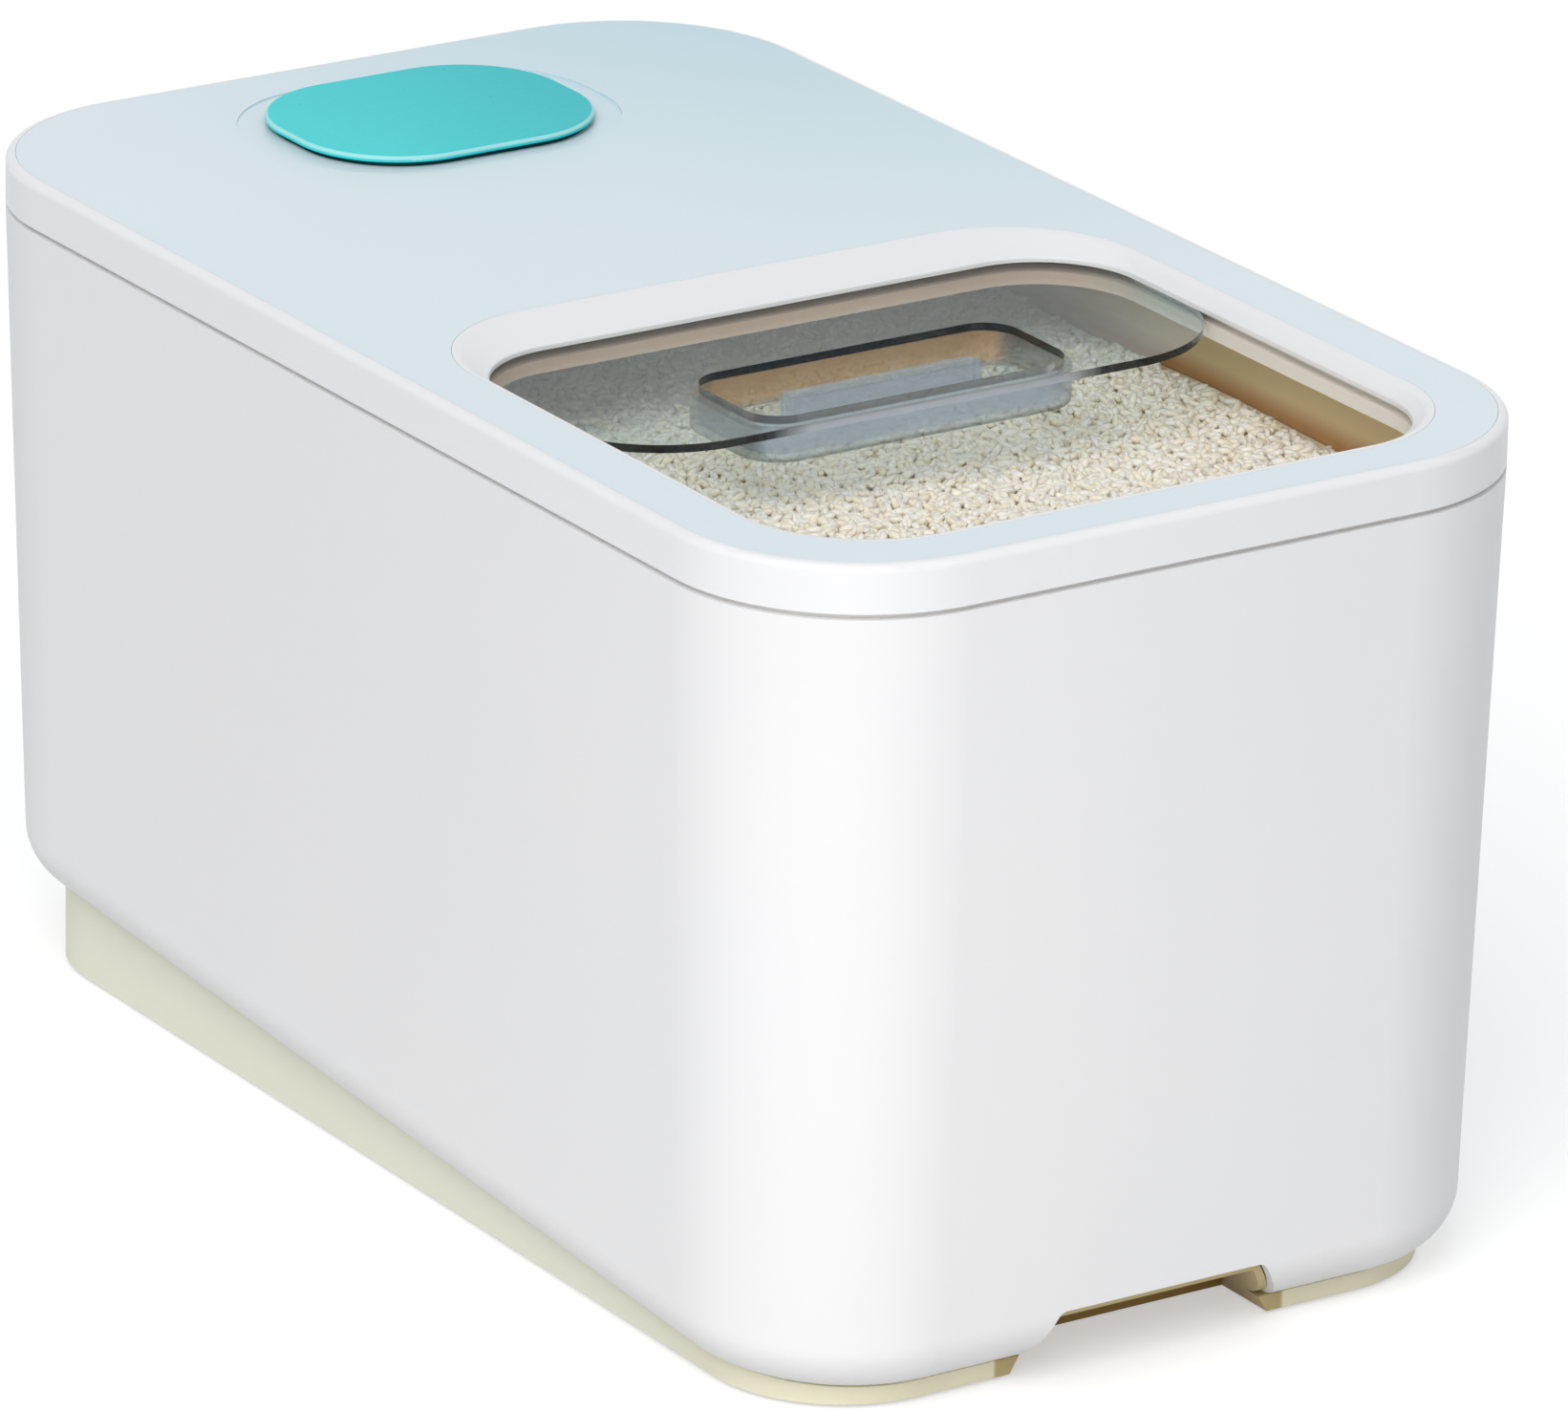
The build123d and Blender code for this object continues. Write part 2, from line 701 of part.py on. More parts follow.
# Cap seal: silicone ring round the skirt, halfway down
with BuildPart() as cap_seal:
    with BuildSketch(Plane.XY.offset(deck_top - cap_skirt_depth / 2)):
        cup_plan(cap_seal_thickness - skirt_gap)
        cup_plan(-skirt_gap, mode=Mode.SUBTRACT)
    extrude(amount=cap_seal_height / 2, both=True)
cap_seal.part.label = "cap_seal"
export_step(cap_seal.part, "parts/cap_seal.step")
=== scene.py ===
import bpy
import numpy as np
from mathutils import Matrix, Vector


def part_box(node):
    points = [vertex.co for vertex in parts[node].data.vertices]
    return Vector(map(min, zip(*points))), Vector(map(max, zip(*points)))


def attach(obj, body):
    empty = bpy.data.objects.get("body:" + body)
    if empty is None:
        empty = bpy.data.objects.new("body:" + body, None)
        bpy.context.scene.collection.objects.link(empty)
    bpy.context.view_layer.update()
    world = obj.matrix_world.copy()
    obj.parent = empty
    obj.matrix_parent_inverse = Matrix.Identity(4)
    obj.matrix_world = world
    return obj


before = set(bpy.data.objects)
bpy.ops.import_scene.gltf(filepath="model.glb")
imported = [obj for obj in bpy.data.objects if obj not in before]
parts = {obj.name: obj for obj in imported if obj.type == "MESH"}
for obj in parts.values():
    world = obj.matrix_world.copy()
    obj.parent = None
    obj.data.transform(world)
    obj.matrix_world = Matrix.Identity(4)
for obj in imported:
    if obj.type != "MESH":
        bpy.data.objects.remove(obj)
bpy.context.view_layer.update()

# Outer shell: the long white tub that gives the container its shape, one polypropylene
# moulding with drafted sides. The base is screwed under it and the inner bin hangs in it.
MM = 0.001


def linear(colour):
    """Linear RGBA of an sRGB hex colour: a straight line at the low end, above it a power of 2.4"""
    srgb = np.array([int(colour[i : i + 2], 16) for i in (1, 3, 5)]) / 255
    channels = np.where(srgb <= 0.04045, srgb / 12.92, ((srgb + 0.055) / 1.055) ** 2.4)
    return (*channels.tolist(), 1.0)


def add_node(tree, kind, inputs=None, **settings):
    """Adds a node and its settings; an input given a socket is linked, any other gets the value"""
    node = tree.nodes.new(kind)
    for name, value in settings.items():
        setattr(node, name, value)
    for name, value in (inputs or {}).items():
        if isinstance(value, bpy.types.NodeSocket):
            tree.links.new(value, node.inputs[name])
        else:
            node.inputs[name].default_value = value
    return node


def new_material(name, **values):
    """A material with one Principled shader, whose plain values are set on its own sockets"""
    material = bpy.data.materials.new(name)
    material.use_nodes = True
    shader = material.node_tree.nodes["Principled BSDF"]
    for socket, value in values.items():
        shader.inputs[socket.replace("_", " ")].default_value = value
    return material, material.node_tree, shader


# Sockets of a Mix node that are in use when it mixes colours; the last one is an output
mix_share, mix_below, mix_above, mix_result = 0, 6, 7, 2


def lay_over(material, colour, share):
    """Mixes a colour over a material's own one, by a share from 0 to 1"""
    tree = material.node_tree
    base = tree.nodes["Principled BSDF"].inputs["Base Color"]
    below = base.links[0].from_socket if base.is_linked else tuple(base.default_value)
    inputs = {mix_share: share, mix_below: below, mix_above: linear(colour)}
    mix = add_node(tree, "ShaderNodeMix", inputs, data_type="RGBA")
    tree.links.new(mix.outputs[mix_result], base)


def moulded_plastic(name, colour, shade, roughness, flow, grit, relief, specular=0.32):
    """Injection-moulded thermoplastic. Its colour drifts towards a shade in soft patches as wide as
    flow, which the melt leaves, and the mould's spark-eroded steel gives it a fine grit."""
    gloss_spread, grit_strength = 0.06, 0.25
    material, tree, shader = new_material(
        name, Base_Color=linear(colour), IOR=1.5, Specular_IOR_Level=specular
    )
    place = add_node(tree, "ShaderNodeTexCoord").outputs["Object"]
    patches = add_node(
        tree, "ShaderNodeTexNoise", {"Vector": place, "Scale": 1 / flow, "Detail": 2.0}
    ).outputs["Fac"]
    lay_over(material, shade, patches)
    grains = add_node(
        tree, "ShaderNodeTexNoise", {"Vector": place, "Scale": 1 / grit, "Detail": 3.0}
    ).outputs["Fac"]
    glossiest, dullest = roughness - gloss_spread, roughness + gloss_spread
    gloss = add_node(
        tree, "ShaderNodeMapRange", {"Value": grains, "To Min": glossiest, "To Max": dullest}
    )
    tree.links.new(gloss.outputs["Result"], shader.inputs["Roughness"])
    bump = add_node(
        tree, "ShaderNodeBump", {"Height": grains, "Strength": grit_strength, "Distance": relief}
    )
    tree.links.new(bump.outputs["Normal"], shader.inputs["Normal"])
    return material


def dress(material, *names):
    """Gives the named CAD nodes one material all over"""
    for name in names:
        mesh = parts[name].data
        mesh.materials.clear()
        mesh.materials.append(material)


# Satin white polypropylene: near-white with a soft broad sheen. The grit is drawn coarser
# than the real one so that it shows from a step away.
white_shell = moulded_plastic(
    "white_polypropylene",
    "#f6f5f5",
    "#f2f3f4",
    roughness=0.5,
    flow=110 * MM,
    grit=1.2 * MM,
    relief=0.03 * MM,
)
dress(white_shell, "outer_shell")

# Base stand: cream wedge screwed under the sloping floor of the shell, with a lined finger
# notch at the front. Polypropylene too, from a rougher mould.
cream_base = moulded_plastic(
    "cream_polypropylene",
    "#f4f5e4",
    "#eff0dc",
    roughness=0.5,
    flow=60 * MM,
    grit=1.5 * MM,
    relief=0.05 * MM,
)


def within(material, share, *limits):
    """The share that a tint has at each place. A limit reads the place itself ("Object") or the way
    the surface faces ("Normal") along an axis, and rises in a straight line from 0 at its first
    value to 1 at its second. The greatest share and all the limits are multiplied."""
    tree = material.node_tree
    for reading, axis, start, end in limits:
        read = add_node(tree, "ShaderNodeTexCoord").outputs[reading]
        along = add_node(tree, "ShaderNodeSeparateXYZ", {0: read}).outputs[axis]
        rise = {"Value": along, "From Min": start, "From Max": end}
        risen = add_node(tree, "ShaderNodeMapRange", rise).outputs["Result"]
        both = {0: share, 1: risen}
        share = add_node(tree, "ShaderNodeMath", both, operation="MULTIPLY").outputs[0]
    return share


# The base is tinted warmer towards its front edge, and the notch's lining carries painted shade:
# tan, and browner towards its back
warm_tint_start, base_front = -110 * MM, -188 * MM
notch_half_width, notch_side = 40 * MM, 41 * MM
notch_back, notch_end, notch_deep = -152 * MM, -150 * MM, -162 * MM
front_strip = -191 * MM
in_notch = [
    ("Object", "X", -notch_side, -notch_half_width),
    ("Object", "X", notch_side, notch_half_width),
    ("Object", "Y", notch_end, notch_back),
    ("Object", "Y", front_strip, base_front),
]
to_front = ("Object", "Y", warm_tint_start, base_front)
to_back = ("Object", "Y", base_front, notch_deep)
lay_over(cream_base, "#f0e6c2", within(cream_base, 0.8, to_front))
# Painted shade in the notch: tan over its lining, browner towards its back
lay_over(cream_base, "#cdbd8c", within(cream_base, 1.0, *in_notch))
lay_over(cream_base, "#8f6e28", within(cream_base, 0.9, *in_notch, to_back))
dress(cream_base, "base_stand")


# Fasteners and roller pins: zinc-plated and bright-drawn steel, turned or headed, which
# leaves fine streaks and a slightly uneven shine.
def drawn_steel(name, colour, roughness, streak):
    """Plated or drawn steel: metal whose roughness wanders in streaks of the given width, drawn
    out along X"""
    brighter, duller = 0.1, 0.12
    drawn_out = (0.15, 1.0, 1.0)
    material, tree, shader = new_material(name, Metallic=1.0, Base_Color=linear(colour))
    place = add_node(tree, "ShaderNodeTexCoord").outputs["Object"]
    lay = add_node(tree, "ShaderNodeMapping", {"Vector": place, "Scale": drawn_out})
    streaks = add_node(
        tree,
        "ShaderNodeTexNoise",
        {"Vector": lay.outputs["Vector"], "Scale": 1 / streak, "Detail": 2.0},
    ).outputs["Fac"]
    shine = add_node(
        tree,
        "ShaderNodeMapRange",
        {"Value": streaks, "To Min": roughness - brighter, "To Max": roughness + duller},
    )
    tree.links.new(shine.outputs["Result"], shader.inputs["Roughness"])
    return material


zinc_steel = drawn_steel("zinc_plated_steel", "#b9bcc0", roughness=0.34, streak=0.8 * MM)
dress(zinc_steel, "base_screws", "rail_screws")
pin_steel = drawn_steel("bright_drawn_steel", "#c4c6c9", roughness=0.25, streak=0.5 * MM)
dress(pin_steel, "roller_pin_left", "roller_pin_right")

# Feet: four grey rubber discs pressed into sockets under the base. Rubber is matt, and
# dusty paler in patches where it has been handled.
rubber = moulded_plastic(
    "moulded_rubber",
    "#8d8f8e",
    "#a3a4a2",
    roughness=0.8,
    flow=6 * MM,
    grit=0.8 * MM,
    relief=0.08 * MM,
)
dress(rubber, "foot_front_left", "foot_front_right", "foot_rear_left", "foot_rear_right")

# Rollers: two small nylon wheels in ears at the rear of the base, turning on their pins.
# Natural nylon is a warm white with a waxy shine.
nylon = moulded_plastic(
    "natural_nylon",
    "#ded9c8",
    "#d2ccb8",
    roughness=0.38,
    flow=8 * MM,
    grit=0.7 * MM,
    relief=0.03 * MM,
)
dress(nylon, "roller_left", "roller_right")

# Inner bin: the tan liner that holds the rice, hung by its flange in the shell's mouth and
# lifted out to be washed. A thinner, smoother polypropylene moulding.
tan_bin = moulded_plastic(
    "tan_polypropylene",
    "#f7e4ba",
    "#efd8a4",
    roughness=0.4,
    flow=80 * MM,
    grit=1.2 * MM,
    relief=0.02 * MM,
)

# Painted shade, warmed by the light the rice throws back, lies as a brown line on the inside of
# both long walls at the top of the rice, and the flange is painted grey for the shade in the
# parting gap
line_top, line_bottom = ("Object", "Z", 186 * MM, 181 * MM), ("Object", "Z", 174 * MM, 176 * MM)
off_middle, facing_in = 10 * MM, 0.22
for side in (-1, 1):
    on_side = ("Object", "X", 0.0, side * off_middle)
    inwards = ("Normal", "X", 0.0, -side * facing_in)
    # Painted shade: a brown line along the wall at the top of the rice
    rice_line_shade = within(tan_bin, 0.7, on_side, inwards, line_top, line_bottom)
    lay_over(tan_bin, "#b5702a", rice_line_shade)
on_flange = ("Object", "Z", 197.4 * MM, 197.9 * MM)
# Painted shade: the flange greyed to read as the parting gap's shadow
lay_over(tan_bin, "#dcdad6", within(tan_bin, 1.0, on_flange))
dress(tan_bin, "inner_bin")

# Rice: polished short-grain rice poured into the inner bin to a finger's width below the hatch's
# grip pocket. It is the contents, loose in the bin, so it has no solid of its own.
rice_level = 180.0 * MM
rice_length, rice_width, rice_thickness = 4.4 * MM, 2.3 * MM, 1.8 * MM
rice_corner = 41.0 * MM
wall_and_flange = 4.8 * MM
bin_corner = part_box("inner_bin")[1]
rice_half_width = bin_corner.x - wall_and_flange
rice_half_length = bin_corner.y - wall_and_flange
swell_height, swell_width, swell_length = 1.3 * MM, 34 * MM, 41 * MM
swell_shift_across, swell_shift_along = 0.6, -0.4
ripple_height, ripple_width, ripple_length = 0.6 * MM, 23 * MM, 17 * MM
rng = np.random.default_rng(20)


def rice_reach(along):
    """Half-width of the bin's rounded plan at a place along it: full up to the corner's centre,
    then the corner's circle"""
    past = np.clip(np.abs(along) - (rice_half_length - rice_corner), 0, rice_corner)
    return rice_half_width - rice_corner + np.sqrt(rice_corner**2 - past**2)


def rice_height(across, along):
    """Height of the poured surface: its level, plus a broad swell, which is a sine across times a
    cosine along, plus a ripple that runs aslant"""
    swell_across = np.sin(across / swell_width + swell_shift_across)
    swell = swell_across * np.cos(along / swell_length + swell_shift_along)
    ripple = np.sin(along / ripple_length + across / ripple_width)
    return rice_level + swell_height * swell + ripple_height * ripple


def grid_faces(rows, columns):
    """Quads of a grid of rows by columns, each from a corner and its three neighbours"""
    corner = np.arange(rows * columns).reshape(rows, columns)[:-1, :-1].ravel()
    return np.stack([corner, corner + 1, corner + columns + 1, corner + columns], axis=1)


def new_piece(name, points, faces, body, material):
    """A smooth-shaded mesh at the origin that rides on a body"""
    mesh = bpy.data.meshes.new(name)
    mesh.from_pydata(points.tolist(), [], faces.tolist())
    mesh.polygons.foreach_set("use_smooth", np.ones(len(mesh.polygons), bool))
    mesh.materials.append(material)
    piece = bpy.data.objects.new(name, mesh)
    bpy.context.scene.collection.objects.link(piece)
    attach(piece, body)
    return piece


# Polished rice: pearly and a little see-through, so it scatters light inside. Each grain's own
# tone goes from glassy cream to chalky white.
rice_grain, rice_tree, _ = new_material(
    "polished_rice",
    Base_Color=linear("#f8ecd4"),
    IOR=1.5,
    Roughness=0.36,
    Subsurface_Weight=0.25,
    Subsurface_Scale=1.2 * MM,
    Subsurface_Radius=(1.0, 0.75, 0.45),
)
grain_tone = add_node(rice_tree, "ShaderNodeAttribute", attribute_name="tone")
lay_over(rice_grain, "#fffaf0", grain_tone.outputs["Fac"])

# An unbroken bed lies among the grains so that no gap shows the bin's bottom
bed_rows, bed_columns = 90, 50
bed_below = 0.7 * MM
bed_along, bed_share = np.meshgrid(
    np.linspace(-rice_half_length, rice_half_length, bed_rows),
    np.linspace(-1, 1, bed_columns),
    indexing="ij",
)
bed_across = bed_share * rice_reach(bed_along)
bed_height = rice_height(bed_across, bed_along) - bed_below
bed_points = np.stack([bed_across, bed_along, bed_height], axis=-1).reshape(-1, 3)
new_piece("rice_bed", bed_points, grid_faces(bed_rows, bed_columns), "bin", rice_grain)

# One grain: rings along its length, whose girth is a power of a sine so that the ends are
# blunt, and a point at each end
grain_rings, grain_sides = 4, 6
grain_bluntness = 0.75
grain_turn = np.pi * np.arange(1, grain_rings + 1) / (grain_rings + 1)
grain_angle = 2 * np.pi * np.arange(grain_sides) / grain_sides
grain_girth = np.sin(grain_turn) ** grain_bluntness
grain_shape = np.concatenate(
    [
        np.stack(
            [
                np.repeat(-np.cos(grain_turn) * rice_length / 2, grain_sides),
                np.outer(grain_girth, np.cos(grain_angle)).ravel() * rice_width / 2,
                np.outer(grain_girth, np.sin(grain_angle)).ravel() * rice_thickness / 2,
            ],
            axis=1,
        ),
        np.array([[-rice_length / 2, 0, 0], [rice_length / 2, 0, 0]]),
    ]
)
ring_start = np.arange(grain_sides)
ring_next = (ring_start + 1) % grain_sides
ring_steps = grain_sides * np.arange(grain_rings - 1)[:, None]
last_ring = (grain_rings - 1) * grain_sides
last_start, last_next = last_ring + ring_start, last_ring + ring_next
tail = grain_rings * grain_sides
tip = tail + 1


def ring_triangles(start, after, next_ring):
    """Two triangles for each side of a ring, from its start and the corner after it to the same
    corners of the next ring"""
    first = np.stack([start, after, after + next_ring], axis=-1)
    second = np.stack([start, after + next_ring, start + next_ring], axis=-1)
    return np.concatenate([first.reshape(-1, 3), second.reshape(-1, 3)])


grain_faces = np.concatenate(
    [
        ring_triangles(ring_steps + ring_start, ring_steps + ring_next, grain_sides),
        np.stack([np.full(grain_sides, tail), ring_next, ring_start], axis=1),
        np.stack([np.full(grain_sides, tip), last_start, last_next], axis=1),
    ]
)


def turned(yaw, pitch, roll):
    """Rotation matrices that roll about X, then pitch about Y, then yaw about Z"""
    cy, sy, cp, sp, cr, sr = (f(a) for a in (yaw, pitch, roll) for f in (np.cos, np.sin))
    rows = [
        [cy * cp, cy * sp * sr - sy * cr, cy * sp * cr + sy * sr],
        [sy * cp, sy * sp * sr + cy * cr, sy * sp * cr - cy * sr],
        [-sp, cp * sr, cp * cr],
    ]
    return np.moveaxis(np.array(rows), -1, 0)


# Grains lie on a grid and are scattered from it by a share of its pitch, lifted or sunk by up to
# a millimetre, tilted a little and turned any way. Their tones follow a beta curve that leans to
# chalky, and bands along the bin keep each mesh small.
grain_pitch, grain_scatter = 1.85 * MM, 0.6
grain_margin = 3.0 * MM
grain_sunk, grain_proud = -0.8, 0.9
grain_tilt = 0.38
smallest_grain, largest_grain = 0.86, 1.08
chalky, glassy = 2.2, 1.6
rice_bands = 6
band_length = 2 * rice_half_length / rice_bands
for band in range(rice_bands):
    band_start = -rice_half_length + band * band_length
    across, along = np.meshgrid(
        np.arange(-rice_half_width, rice_half_width, grain_pitch),
        np.arange(band_start, band_start + band_length, grain_pitch),
    )
    across, along = across.ravel(), along.ravel()
    across = across + rng.uniform(-grain_scatter, grain_scatter, across.size) * grain_pitch
    along = along + rng.uniform(-grain_scatter, grain_scatter, along.size) * grain_pitch
    reach = rice_reach(np.clip(along, -rice_half_length, rice_half_length))
    inside = np.abs(along) < rice_half_length - grain_margin
    inside &= np.abs(across) < reach - grain_margin
    across, along = across[inside], along[inside]
    count = across.size
    height = rice_height(across, along) + rng.uniform(grain_sunk, grain_proud, count) * MM
    spin = turned(
        rng.uniform(0, 2 * np.pi, count),
        rng.normal(0, grain_tilt, count),
        rng.uniform(0, 2 * np.pi, count),
    )
    size = rng.uniform(smallest_grain, largest_grain, (count, 1, 1))
    grains = np.einsum("nij,vj->nvi", spin, grain_shape) * size
    grains += np.stack([across, along, height], axis=1)[:, None, :]
    shift = np.arange(count)[:, None, None] * len(grain_shape)
    piece = new_piece(
        f"rice_grains_{band + 1}",
        grains.reshape(-1, 3),
        (grain_faces[None] + shift).reshape(-1, 3),
        "bin",
        rice_grain,
    )
    tone = np.repeat(rng.beta(chalky, glassy, count), len(grain_shape)).astype(np.float32)
    piece.data.attributes.new("tone", "FLOAT", "POINT").data.foreach_set("value", tone)

# Lid frame: the white rim, plug lip and bevelled opening in one polypropylene moulding, which
# drops into the inner bin's mouth. Its mould is polished, so it shines more than the shell.
white_lid = moulded_plastic(
    "polished_white_polypropylene",
    "#f5f5f6",
    "#f1f2f4",
    roughness=0.36,
    flow=90 * MM,
    grit=1.4 * MM,
    relief=0.015 * MM,
)
dress(white_lid, "lid_frame")

# Seals: milky silicone rings, one stretched round the lid's plug lip and one round the cap's skirt.
# Silicone is soft and slightly see-through, with a matt skin.
silicone, silicone_tree, silicone_shader = new_material(
    "milky_silicone",
    Base_Color=linear("#e6e8e6"),
    IOR=1.41,
    Subsurface_Weight=0.4,
    Subsurface_Scale=1.5 * MM,
)
cloud_width = 5 * MM
skin_smoothest, skin_mattest = 0.5, 0.65
silicone_place = add_node(silicone_tree, "ShaderNodeTexCoord").outputs["Object"]
silicone_cloud = add_node(
    silicone_tree,
    "ShaderNodeTexNoise",
    {"Vector": silicone_place, "Scale": 1 / cloud_width, "Detail": 2.0},
).outputs["Fac"]
lay_over(silicone, "#d9dcda", silicone_cloud)
silicone_skin = add_node(
    silicone_tree,
    "ShaderNodeMapRange",
    {"Value": silicone_cloud, "To Min": skin_smoothest, "To Max": skin_mattest},
)
silicone_tree.links.new(silicone_skin.outputs["Result"], silicone_shader.inputs["Roughness"])
dress(silicone, "lid_seal", "cap_seal")

# Rail frame: white ledges that carry the hatch, with end stops and tabs, screwed up under the lid.
# Acetal, which is smooth and waxy so that the hatch slides; its cross-piece is painted beige, the
# warm light that the rice throws on it.
acetal = moulded_plastic(
    "white_acetal",
    "#f6f1e8",
    "#efe9df",
    roughness=0.32,
    flow=40 * MM,
    grit=1.0 * MM,
    relief=0.015 * MM,
)
to_cross_piece = ("Object", "Y", -50 * MM, -20 * MM)
# Painted reflected light: warm beige on the cross-piece behind the hatch
lay_over(acetal, "#fccfb8", within(acetal, 0.9, to_cross_piece))
dress(acetal, "rail_frame")

# Top plate: the pale blue-grey deck let in flush with the rim, a thin moulded ABS sheet with a
# satin face, and painted shade makes it a little bluer towards its rear right corner.
pale_deck = moulded_plastic(
    "pale_blue_abs",
    "#eaf4fa",
    "#e0eff4",
    roughness=0.36,
    flow=120 * MM,
    grit=1.3 * MM,
    relief=0.02 * MM,
)
to_right, to_rear = ("Object", "X", -80 * MM, 100 * MM), ("Object", "Y", -60 * MM, 190 * MM)
# Painted shade: bluer towards the deck's rear right corner
lay_over(pale_deck, "#b9dbe6", within(pale_deck, 0.8, to_right, to_rear))
dress(pale_deck, "top_plate")

# Hatch panel: the sliding door, moulded in clear styrene-acrylonitrile with a sunk grip pocket. Its
# faces have a low-glare coat, and the edges of the sheet are painted dark, the shade they show end
# on.
clear_san, san_tree, san_shader = new_material(
    "clear_styrene_acrylonitrile",
    Base_Color=linear("#eaf1f8"),
    IOR=1.57,
    Roughness=0.03,
    Transmission_Weight=0.6,
)

# The pocket's walls are painted lavender, a painted reflection, and its rear wall is painted tan,
# the bin seen in it. Its foot and its ends, where the wall is seen edge on, are painted dark lines
# of shade.
in_sheet, below_sheet = 204.1 * MM, 203.8 * MM
in_pocket = ("Object", "Z", in_sheet, below_sheet)
pocket_rear = ("Object", "Y", -54 * MM, -48 * MM)
pocket_foot = [("Object", "Z", 196.6 * MM, 195.6 * MM), ("Normal", "Z", -0.95, -0.7)]
pocket_end_start, pocket_end = 42.5 * MM, 44 * MM
dark_line = "#27303a"
# Painted reflection: lavender on the pocket's walls
lay_over(clear_san, "#d9e3ff", within(clear_san, 1.0, in_pocket))
# Painted reflection: the bin's tan on the pocket's rear wall
lay_over(clear_san, "#f4c391", within(clear_san, 1.0, in_pocket, pocket_rear))
# Painted shade: a dark line at the pocket's foot
lay_over(clear_san, dark_line, within(clear_san, 1.0, *pocket_foot))
# Painted shade: dark lines at both ends of the pocket
for side in (-1, 1):
    at_end = ("Object", "X", side * pocket_end_start, side * pocket_end)
    lay_over(clear_san, dark_line, within(clear_san, 0.8, in_pocket, at_end))

# The sheet's edges, which face neither up nor down, are painted dark all round as painted shade,
# apart from the front edge before the pocket
nearly_level, level = 0.9, 0.99
sheet_edge = [
    ("Object", "Z", below_sheet, in_sheet),
    ("Normal", "Z", level, nearly_level),
    ("Normal", "Z", -level, -nearly_level),
]
behind_front_edge = ("Object", "Y", -86 * MM, -84 * MM)
left_of_pocket = ("Object", "X", -36 * MM, -46 * MM)
right_of_pocket = ("Object", "X", 36 * MM, 46 * MM)
for stretch in (behind_front_edge, left_of_pocket, right_of_pocket):
    # Painted shade: dark on the sheet's edges
    lay_over(clear_san, "#1e242b", within(clear_san, 1.0, *sheet_edge, stretch))

# The coat lets most light straight through the level faces, and half of it through the pocket
level_share, pocket_share = 0.855, 0.5
top_clear = within(clear_san, level_share, ("Normal", "Z", nearly_level, level))
under_clear = within(clear_san, level_share, ("Normal", "Z", -nearly_level, -level))
pocket_clear = within(clear_san, pocket_share, in_pocket)
sheet_clear = add_node(
    san_tree, "ShaderNodeMath", {0: top_clear, 1: under_clear}, operation="MAXIMUM"
).outputs[0]
san_clear = add_node(
    san_tree, "ShaderNodeMath", {0: sheet_clear, 1: pocket_clear}, operation="MAXIMUM"
).outputs[0]
san_coat = add_node(san_tree, "ShaderNodeBsdfTransparent", {"Color": linear("#f5faf9")})
san_mix = add_node(
    san_tree,
    "ShaderNodeMixShader",
    {0: san_clear, 1: san_shader.outputs["BSDF"], 2: san_coat.outputs["BSDF"]},
)
san_depth = add_node(
    san_tree, "ShaderNodeVolumeAbsorption", {"Color": linear("#8fa3b0"), "Density": 20.0}
)
san_output = san_tree.nodes["Material Output"].inputs
san_tree.links.new(san_mix.outputs["Shader"], san_output["Surface"])
san_tree.links.new(san_depth.outputs["Volume"], san_output["Volume"])
dress(clear_san, "hatch_panel")

# Repellent cup: slotted white basket for a drying or repellent sachet, hung by its flange in the
# deck. Polypropylene like the shell, with a plain moulded finish.
cup_white = moulded_plastic(
    "white_cup_polypropylene",
    "#f1f1ef",
    "#e9e9e6",
    roughness=0.42,
    flow=30 * MM,
    grit=1.1 * MM,
    relief=0.03 * MM,
)
dress(cup_white, "repellent_cup")

# Repellent cap: teal lid pushed into the cup, with a rim to lift it by. ABS from a polished mould,
# with painted shade that deepens it to the right, a painted highlight where the rim is rounded and
# painted shadow under it.
teal_cap = moulded_plastic(
    "teal_abs",
    "#34e0e2",
    "#28d8db",
    roughness=0.3,
    flow=45 * MM,
    grit=2.4 * MM,
    relief=0.004 * MM,
    specular=0.1,
)
cap_right = ("Object", "X", -35 * MM, 40 * MM)
rim_highlight = [("Normal", "Z", 0.97, 0.8), ("Normal", "Z", 0.05, 0.4)]
under_rim_shadow = ("Object", "Z", 212.0 * MM, 211.8 * MM)
# Painted shade: deeper teal towards the right
lay_over(teal_cap, "#00bfc7", within(teal_cap, 0.85, cap_right))
# Painted highlight: paler where the rim is rounded
lay_over(teal_cap, "#c4f1f1", within(teal_cap, 0.75, *rim_highlight))
# Painted shadow: dark under the rim
lay_over(teal_cap, "#0f565b", within(teal_cap, 1.0, under_rim_shadow))
dress(teal_cap, "repellent_cap")

# Floor and sky: a plain white sweep. Seen by the camera, in gloss or through the clear panel, it is
# white, and the floor keeps the container's shadow.
floor_half = 6.0
floor_glow = 0.47
floor_points = np.array([[x, y, 0.0] for y in (-1, 1) for x in (-1, 1)]) * floor_half
floor_mesh = bpy.data.meshes.new("floor")
floor_mesh.from_pydata(floor_points.tolist(), [], grid_faces(2, 2).tolist())
floor = bpy.data.objects.new("floor", floor_mesh)
bpy.context.scene.collection.objects.link(floor)


def seen_directly(tree):
    """1 for a ray that shows a surface to the eye, straight, in gloss or through clear plastic, and
    0 for one that carries its light to another surface"""
    ray = add_node(tree, "ShaderNodeLightPath").outputs
    shown = ray["Is Camera Ray"]
    for kind in ("Is Glossy Ray", "Is Transmission Ray"):
        either = {0: shown, 1: ray[kind]}
        shown = add_node(tree, "ShaderNodeMath", either, operation="MAXIMUM").outputs[0]
    return shown


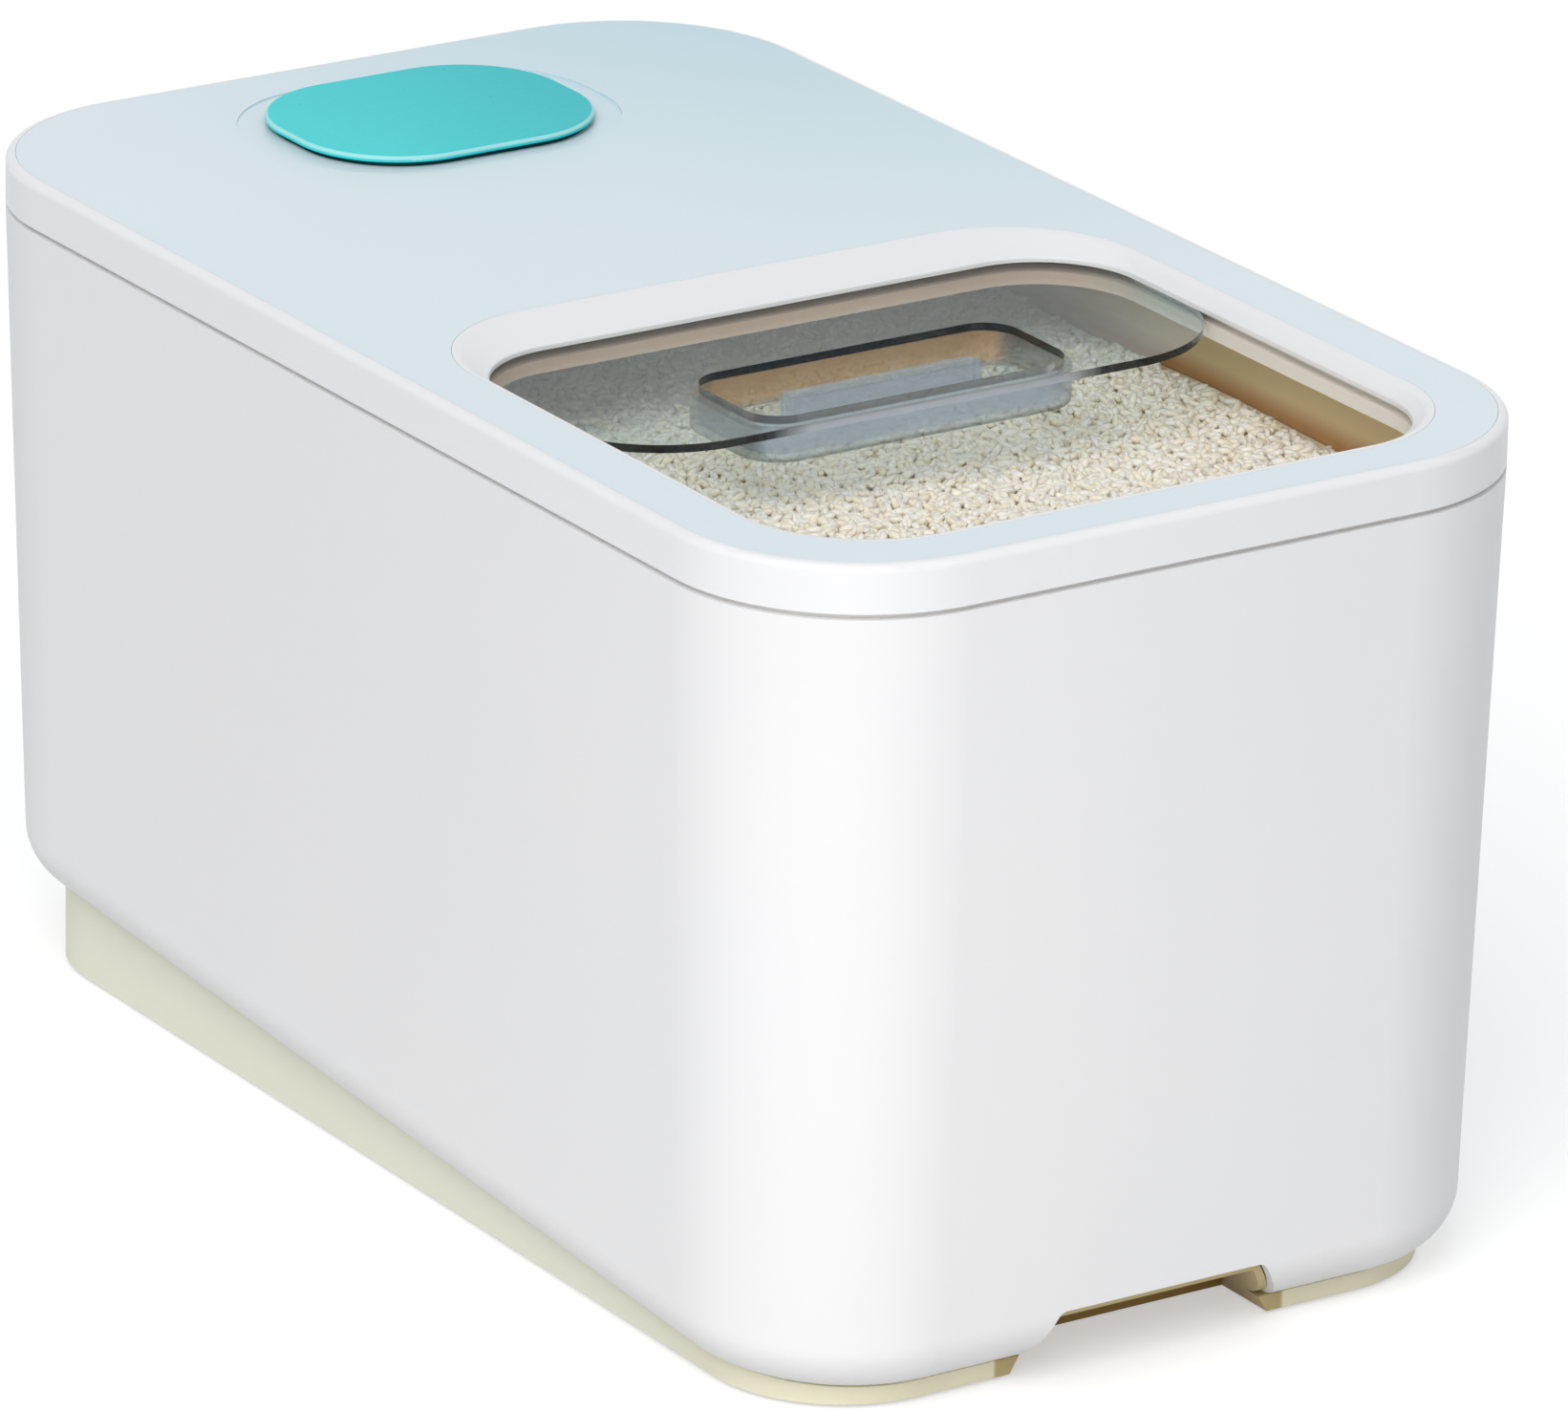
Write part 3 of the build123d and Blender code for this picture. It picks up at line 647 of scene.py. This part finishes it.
white = (1.0, 1.0, 1.0, 1.0)
paper, paper_tree, paper_shader = new_material(
    "white_sweep", Roughness=0.9, Base_Color=linear("#cfcfcf"), Emission_Color=white
)
paper_glow = add_node(
    paper_tree,
    "ShaderNodeMath",
    {0: seen_directly(paper_tree), 1: floor_glow},
    operation="MULTIPLY",
)
paper_tree.links.new(paper_glow.outputs[0], paper_shader.inputs["Emission Strength"])
floor_mesh.materials.append(paper)

sky_glow = (0.435, 0.45, 0.465, 1.0)
world = bpy.data.worlds.new("soft_room")
bpy.context.scene.world = world
world.use_nodes = True
sky_tree = world.node_tree
sky_light = add_node(
    sky_tree,
    "ShaderNodeMix",
    {mix_share: seen_directly(sky_tree), mix_below: sky_glow, mix_above: white},
    data_type="RGBA",
)
sky_tree.links.new(sky_light.outputs[mix_result], sky_tree.nodes["Background"].inputs["Color"])


# Lamps: a broad key from the front left, a low fill from the right rear that gloss doesn't show,
# and a soft disk close to the near corner, where the container is brightest.
def soft_sun(name, azimuth, elevation, strength, spread):
    """A broad distant lamp that shines from an azimuth, 0 being straight in front, and an
    elevation"""
    lamp = bpy.data.lights.new(name, "SUN")
    lamp.energy = strength
    lamp.color = (1.0, 0.982, 0.972)
    lamp.angle = np.radians(spread)
    turn, lift = np.radians((azimuth, elevation))
    towards = Vector((np.sin(turn) * np.cos(lift), -np.cos(turn) * np.cos(lift), np.sin(lift)))
    sun = bpy.data.objects.new(name, lamp)
    sun.rotation_euler = towards.to_track_quat("Z", "Y").to_euler()
    bpy.context.scene.collection.objects.link(sun)
    return sun


soft_sun("key_lamp", azimuth=-50, elevation=47, strength=1.55, spread=40)
rear_lamp = soft_sun("rear_lamp", azimuth=112, elevation=12, strength=0.5, spread=50)
rear_lamp.visible_glossy = False
near_corner = Vector((-0.09, -0.17, 0.12))
corner_light = bpy.data.lights.new("corner_lamp", "AREA")
corner_light.shape = "DISK"
corner_light.size = 0.3
corner_light.energy = 0.38
corner_light.color = (1.0, 0.97, 0.965)
corner_lamp = bpy.data.objects.new("corner_lamp", corner_light)
corner_lamp.location = (-0.3, -0.5, 0.17)
corner_aim = near_corner - corner_lamp.location
corner_lamp.rotation_euler = corner_aim.to_track_quat("-Z", "Y").to_euler()
bpy.context.scene.collection.objects.link(corner_lamp)

# Camera: a long lens from the front left and a little above, where the photograph was taken
# from. The aim is a little off the target, and the frame is tilted by about a degree.
photo_width = 1641
focal_pixels = 13205.4
camera_azimuth, camera_elevation, camera_roll = np.radians((-33.086, 20.142, 1.073))
camera_distance = 3038.7 * MM
camera_target = Vector((0, 0, 115.5 * MM))
aim_right, aim_up = 13.15 * MM, -12.93 * MM


def level_axes(forward):
    """Right and up of a level camera that looks along forward"""
    right = forward.cross(Vector((0, 0, 1))).normalized()
    return right, right.cross(forward)


camera_back = Vector(
    (
        np.sin(camera_azimuth) * np.cos(camera_elevation),
        -np.cos(camera_azimuth) * np.cos(camera_elevation),
        np.sin(camera_elevation),
    )
)
camera_place = camera_target + camera_back * camera_distance
target_right, target_up = level_axes(-camera_back)
aim_point = camera_target + target_right * aim_right + target_up * aim_up
camera_forward = (aim_point - camera_place).normalized()
level_right, level_up = level_axes(camera_forward)
camera_right = level_right * np.cos(camera_roll) + level_up * np.sin(camera_roll)
camera_up = level_up * np.cos(camera_roll) - level_right * np.sin(camera_roll)
lens = bpy.data.cameras.new("camera")
lens.sensor_width = 36.0
lens.lens = lens.sensor_width * focal_pixels / photo_width
lens.clip_end = 50.0
camera = bpy.data.objects.new("camera", lens)
bpy.context.scene.collection.objects.link(camera)
camera_axes = Matrix((camera_right, camera_up, -camera_forward)).transposed().to_4x4()
camera.matrix_world = Matrix.Translation(camera_place) @ camera_axes
bpy.context.scene.camera = camera
bpy.context.scene.view_settings.view_transform = "Standard"
